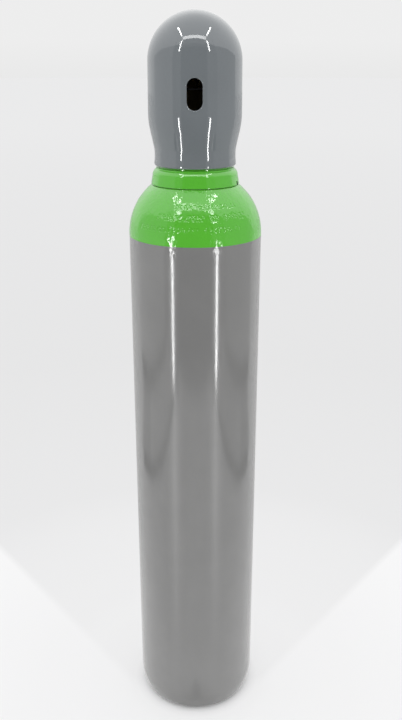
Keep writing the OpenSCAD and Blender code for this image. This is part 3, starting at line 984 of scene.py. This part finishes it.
def build_spring():
    sides, steps = 16, 48 * SPRING_TURNS
    rise = SPRING_TOP - SPRING_LOW - 2 * WIRE_R
    verts = []
    for i in range(steps + 1):
        turn = TAU * SPRING_TURNS * i / steps
        for j in range(sides):
            a = TAU * j / sides
            r = SPRING_R + WIRE_R * math.cos(a)
            z = NECK_TOP + SPRING_LOW + WIRE_R + rise * i / steps + WIRE_R * math.sin(a)
            verts.append((r * math.cos(turn), r * math.sin(turn), z))
    faces = []
    for i in range(steps):
        for j in range(sides):
            a, b = i * sides + j, i * sides + (j + 1) % sides
            faces.append((a, b, b + sides, a + sides))
    faces.append(tuple(range(sides - 1, -1, -1)))
    faces.append(tuple(range(steps * sides, (steps + 1) * sides)))
    spring = make_object("handwheel_spring_wire", verts, faces, 50)
    dress(spring, "handwheel", "plain_steel", plated_steel, "handwheel_spring")


def build_washer():
    rim = rounded_rim(WASHER_R, WASHER_LOW, WASHER_TOP, 0.25)
    outline = at_neck([(BOLT_R, WASHER_LOW + 0.2)] + rim + [(BOLT_R, WASHER_TOP - 0.2)])
    washer = lathe("spring_washer_ring", outline, 96)
    dress(washer, "handwheel", "plain_steel", plated_steel, "spring_washer")


def build_nut():
    corner, drop = hexagon(NUT_W, 0.2)
    bore_r = BOLT_R + 0.02
    outline = at_neck(
        [(BOLT_R + 0.4, NUT_LOW), (NUT_W / 2 - 0.2, NUT_LOW), (corner, NUT_LOW + drop)]
        + [(corner, NUT_TOP - drop), (NUT_W / 2 - 0.2, NUT_TOP), (BOLT_R + 0.5, NUT_TOP)]
        + [(bore_r, NUT_TOP - 0.5), (bore_r, NUT_LOW + 0.4)]
    )
    nut = lathe("handwheel_nut_hex", outline, 96, flats(6, NUT_W, NUT_LOW, NUT_TOP, math.radians(30)))
    dress(nut, "handwheel", "plain_steel", plated_steel, "handwheel_nut")


# -------- CAD nodes that stay

CARRIED = {
    "stem_seal_tape": white_ptfe,
    "anti_debris_tube": brass,
    "gland_gasket": filled_ptfe,
    "thrust_washer": white_ptfe,
    "spindle_o_ring": seal_rubber,
    "spindle_backup_ring": white_ptfe,
    "seat_carrier": brass,
    "seat_insert": seat_plastic,
    "handwheel_insert": plated_steel,
}


def dress_cad_nodes():
    for name, material in CARRIED.items():
        set_materials(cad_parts[name], material)


# -------- studio

# Metres, and brightness where 1 is white. The object stands in a square room, open to the front.
CAMERA = (0.00611, -0.8639, 0.7691)
CAMERA_TILT = 69.35
CAMERA_LENS = 40.54
FRONT = -0.864  # the plane of the lamps, level with the camera
LAMP_GLOW = 28
LAMP_W = 0.075
LAMPS = (-0.690, 0.643)
LAMP_LOW, LAMP_HIGH = (0.03, 0.59), (1.17, 1.81)
CEILING_LAMP = (-0.68, 0.05)
CEILING_Z = 2.05
TOP_LAMP_GLOW = 11
TOP_LAMP_X, TOP_LAMP_Z, TOP_LAMP_DEPTH = (-0.66, 0.62), (1.86, 2.06), 0.1
OPENING = (-0.56, 0.50)
# what shows in the opening: name, bottom, top, brightness
OPENING_BANDS = (
    ("opening", 0.09, 1.33, 0),
    ("over_opening", 1.33, 1.5, 0.35),
    ("under_ceiling", 1.5, 1.86, 0.8),
)
WALL_X = 1.17
WALL_BACK = 0.47
WALL_TOP_FRONT, WALL_TOP_BACK = 1.6, 0.9
PANEL_TOP, PANEL_LEVEL = 1.65, 0.45
# side, brightness of its wall and of its floor
SIDES = ((-1, 1.0, 1.03), (1, 0.70, 0.88))
SEAM_X = 0.652
BRIGHT_FLOOR = 1.55
BRIGHT_ROOM = 1.45
CEILING = 2.15
STREAK = 1.9
STREAK_START = (0.0233, -0.0665)
STREAK_SPREAD = 0.38
WEDGE_SLOPE = -1.25
LIGHT_FLOOR_R, LIGHT_ROOM_R = 20, 19
SEEN_FLOOR_R, BACKDROP_R = 29.5, 30  # other cameras see no further than about 41
UNDER_FLOOR = -0.0003
SKY_LOW, SKY_HIGH, SKY_REACH, SKY_STRENGTH = 0.62, (0.92, 0.92, 0.93, 1), 0.8, 1.33
# brightness by bearing: 0 is beside the object or in front of it, 1 straight behind it
BEHIND = ((0, 1), (0.4, 1), (0.57, 0.95), (0.70, 0.90), (0.83, 0.75), (0.94, 0.56), (1, 0.47))
# the floor's tone by the distance from the axis: painted light, brightest beside the object, which
# softens its shadow there
FLOOR_NEAR = (
    (0, 0.80), (0.065, 0.80), (0.067, 0.789), (0.069, 0.764),
    (0.071, 0.753), (0.073, 0.726), (0.075, 0.686), (0.077, 0.647),
    (0.080, 0.597), (0.085, 0.581), (0.092, 0.576), (0.105, 0.564),
    (0.13, 0.545), (0.16, 0.534), (0.20, 0.523), (0.32, 0.522),
)
# the far floor's tone by the distance from the axis: a gentle painted rise and fall of light
FLOOR_FAR = ((0, 0.525), (0.32, 0.525), (0.4, 0.53), (0.55, 0.52), (0.8, 0.505), (1.2, 0.49), (8, 0.525))
# the reflected floor's tone by the distance from the axis, over its reach: a painted shadow round the
# object's foot
CONTACT_REACH = 0.4
CONTACT = ((0, 0.4), (0.15, 0.5), (0.165, 0.85), (0.175, 1), (1, 1))


def stage_object(name, verts, faces, material, seen_by):
    """A studio object that only the named kinds of ray can see."""
    mesh = bpy.data.meshes.new(name)
    mesh.from_pydata(verts, [], faces)
    mesh.materials.append(material)
    obj = placed(name, mesh)
    for kind in ("camera", "diffuse", "glossy", "transmission", "volume_scatter", "shadow"):
        setattr(obj, "visible_" + kind, kind in seen_by)


def card(name, corners, strength):
    """A glowing or black card that only shows as a reflection."""
    n = material_nodes(name)
    stage_object(name, corners, [(0, 1, 2, 3)], n.surface(n.emission(strength)), ("glossy",))


def upright(x0, y0, x1, y1, low, high):
    return [(x0, y0, low), (x1, y1, low), (x1, y1, high), (x0, y0, high)]


def flat(x0, y0, x1, y1, z):
    return [(x0, y0, z), (x1, y0, z), (x1, y1, z), (x0, y1, z)]


def build_lamps():
    for x in LAMPS:
        left, right = x - LAMP_W / 2, x + LAMP_W / 2
        card("lamp_low", upright(left, FRONT, right, FRONT, *LAMP_LOW), LAMP_GLOW)
        card("lamp_high", upright(left, FRONT, right, FRONT, *LAMP_HIGH), LAMP_GLOW)
        card("ceiling_lamp", flat(left, CEILING_LAMP[0], right, CEILING_LAMP[1], CEILING_Z), LAMP_GLOW)
    (left, right), (low, high), back = TOP_LAMP_X, TOP_LAMP_Z, FRONT + TOP_LAMP_DEPTH
    bar = [(left, FRONT, low), (right, FRONT, low), (right, back, high), (left, back, high)]
    card("top_lamp", bar, TOP_LAMP_GLOW)


def build_room():
    """The parts of the room that show as bands and edges in the gloss paint."""
    left, right = OPENING
    for name, low, high, level in OPENING_BANDS:
        card(name, upright(left, FRONT - 0.02, right, FRONT - 0.02, low, high), level)
    for side, wall_level, floor_level in SIDES:
        x, seam = side * WALL_X, side * SEAM_X
        near, edge = x - side * 0.02, x - side * 0.002
        wall = [(x, FRONT, 0), (x, WALL_BACK, 0)]
        wall += [(x, WALL_BACK, WALL_TOP_BACK), (x, FRONT, WALL_TOP_FRONT)]
        panel = upright(side * 0.5, FRONT - 0.03, x, FRONT - 0.03, 0, PANEL_TOP)
        card("front_panel", panel, PANEL_LEVEL)
        card("side_wall", wall, wall_level)
        card("wall_seam", upright(edge, FRONT, edge, WALL_BACK, 0, 0.03), 0)
        card("floor_edge", flat(side * 1.08, FRONT, x, 0.40, 0.001), 0)
        card("wall_corner", upright(near, FRONT - 0.01, x + side * 0.02, FRONT - 0.01, 0, 2.1), 0)
        card("floor_side", flat(seam, FRONT, x, 0, 0.0005), floor_level)
        card("floor_back", flat(seam, 0, x, 0.34, 0.0005), floor_level * 0.65)
        card("floor_seam", flat(seam - 0.045, FRONT, seam + 0.035, 0.26, 0.001), 0)


def bearing(n, shift=0.0):
    """Brightness by compass bearing: even in front of the object and fading behind it."""
    level = n.vector("MULTIPLY_ADD", n.where, (1, 1, 0), (0, shift, 0))
    return n.greys(n.split(n.vector("NORMALIZE", level))["Y"], BEHIND)


def away_from_axis(n, reach=1):
    """Distance from the origin, as a share of the reach and at most 1."""
    return n.ramp(n.vector("LENGTH", n.where, result="Value"), 0, reach, 0, 1)


def lamp_streak(n, lamp):
    """The lamp mirrored in the shiny floor: a soft streak from the object to the lamp."""
    start = np.array((math.copysign(STREAK_START[0], lamp), STREAK_START[1]))
    towards = np.array((lamp, FRONT)) - start
    towards /= np.linalg.norm(towards)
    shifted = n.vector("SUBTRACT", n.where, (*start, 0))
    forward = n.vector("DOT_PRODUCT", shifted, (*towards, 0), result="Value")
    sideways = n.vector("DOT_PRODUCT", shifted, (-towards[1], towards[0], 0), result="Value")
    off = n.math("DIVIDE", n.math("ABSOLUTE", sideways), n.math("MAXIMUM", forward, 0.01))
    beam = n.math("POWER", n.ramp(off, 0, STREAK_SPREAD, 1, 0), 2.0)
    return n.math("MULTIPLY", beam, n.ramp(forward, 0.08, 0.6, 0.1, STREAK))


def floor_glow():
    """The floor as the gloss paint reflects it: brighter than life, with a painted shadow beside the
    object.
    """
    n = material_nodes("floor_glow")
    contact = n.greys(away_from_axis(n, CONTACT_REACH), CONTACT)
    level = n.mix(contact, BLACK, n.scaled(bearing(n, 0.13), BRIGHT_FLOOR))
    streaks = [lamp_streak(n, lamp) for lamp in LAMPS]
    return n.surface(n.both(n.diffuse(level), n.emission(n.math("ADD", *streaks))))


def room_glow():
    """The room as the gloss paint reflects it: dimmer behind the object and brightest overhead."""
    n = material_nodes("room_glow")
    overhead = n.ramp(n.split(n.where)["Z"], 1, 13, 0, 1)
    level = n.mix(overhead, n.scaled(bearing(n), BRIGHT_ROOM), grey(CEILING))
    return n.surface(n.emission(colour=level))


def floor_seen():
    """The floor as the camera sees it: matt white, with painted light and shade set by the distance from
    the object.

    Near the object it is painted lighter, which softens the object's shadow, and a painted glow lifts it
    more, but not at the line of contact. Behind the object a painted shadow widens like a wedge, and far
    away the floor is painted darker."""
    n = material_nodes("floor_seen")
    near, far = (n.greys(away_from_axis(n, tones[-1][0]), tones) for tones in (FLOOR_NEAR, FLOOR_FAR))
    level = n.mix(n.ramp(away_from_axis(n), 0.27, 0.31, 0, 1), near, far)
    place = n.split(n.where)
    sideways = n.math("MULTIPLY", n.math("ABSOLUTE", place["X"]), WEDGE_SLOPE)
    inside = n.ramp(n.math("ADD", sideways, place["Y"]), -0.13, -0.11, 0, 1)
    wedge = n.math("MULTIPLY", inside, n.ramp(place["Y"], -0.04, -0.01, 0, 1))
    distant = n.ramp(away_from_axis(n, 3), 0.4, 1, 0, 1)
    shade_depth = n.ramp(away_from_axis(n), 0.15, 0.5, 0.06, 0.20)
    kept = n.math("SUBTRACT", 1.0, n.math("MULTIPLY", n.math("MAXIMUM", wedge, distant), shade_depth))
    painted_lift = n.ramp(away_from_axis(n), 0.060, 0.080, 0, 0.35)
    return n.surface(n.both(n.diffuse(n.scaled(level, kept)), n.emission(painted_lift)))


def floor_lit():
    """The floor as a source of soft light from below, strongest round the object's foot."""
    n = material_nodes("floor_lit")
    foot_light = n.ramp(away_from_axis(n), 0.15, 0.45, 0.15, 0)
    return n.surface(n.both(n.diffuse(grey(0.9)), n.emission(foot_light)))


def backdrop():
    n = material_nodes("backdrop")
    return n.surface(n.emission(n.ramp(n.split(n.where)["Z"], -0.75, 1.2, 0.797, 0.85)))


def disc(radius, z, steps=96):
    angles = [TAU * i / steps for i in range(steps)]
    rim = [(radius * math.cos(a), radius * math.sin(a), z) for a in angles]
    return [(0, 0, z)] + rim, [(0, i + 1, (i + 1) % steps + 1) for i in range(steps)]


def dome(radius, rows=24, columns=48):
    verts, faces = [], []
    for i in range(rows + 1):
        rise = math.pi * (i / rows - 0.5)
        ring_r = radius * math.cos(rise)
        for j in range(columns):
            a = TAU * j / columns
            verts.append((ring_r * math.cos(a), ring_r * math.sin(a), radius * math.sin(rise)))
    for i in range(rows):
        low, high = i * columns, (i + 1) * columns
        for j in range(columns):
            k = (j + 1) % columns
            faces.append((low + j, high + j, high + k, low + k))
    return verts, faces


def build_studio():
    stage_object("floor", *disc(SEEN_FLOOR_R, 0), floor_seen(), ("camera",))
    stage_object("floor_light", *disc(LIGHT_FLOOR_R, UNDER_FLOOR), floor_lit(), ("diffuse",))
    stage_object("floor_glow", *disc(LIGHT_FLOOR_R, UNDER_FLOOR), floor_glow(), ("glossy",))
    stage_object("room_glow", *dome(LIGHT_ROOM_R), room_glow(), ("glossy",))
    stage_object("backdrop", *dome(BACKDROP_R), backdrop(), ("camera",))


def build_sky():
    """Soft light from above for the matt surfaces; neither the camera nor the gloss sees it."""
    world = bpy.data.worlds.new("studio")
    scene.world = world
    n = Nodes(world, "ShaderNodeOutputWorld", "Generated")
    world.cycles_visibility.camera = False
    world.cycles_visibility.glossy = False
    ramp = n.add("ShaderNodeValToRGB", {"Fac": n.split(n.where)["Z"]})
    elements = ramp.color_ramp.elements
    elements[0].color = grey(SKY_LOW)
    elements[-1].position = SKY_REACH
    elements[-1].color = SKY_HIGH
    inputs = {"Color": ramp.outputs["Color"], "Strength": SKY_STRENGTH}
    n.surface(n.add("ShaderNodeBackground", inputs).outputs[0])


def build_camera():
    data = bpy.data.cameras.new("camera")
    data.lens = CAMERA_LENS
    data.sensor_width = 36
    data.clip_start = 0.05
    camera = placed("camera", data)
    camera.location = CAMERA
    camera.rotation_euler = (math.radians(CAMERA_TILT), 0, 0)
    scene.camera = camera
    scene.view_settings.view_transform = "Standard"
    scene.cycles.use_denoising = True


build_camera()
build_wall()
build_shoulder()
build_ring()
build_cap()
build_valve_body()
build_gland_nut()
build_spindle()
build_handwheel()
build_disc()
build_spring()
build_washer()
build_nut()
dress_cad_nodes()
build_lamps()
build_room()
build_studio()
build_sky()
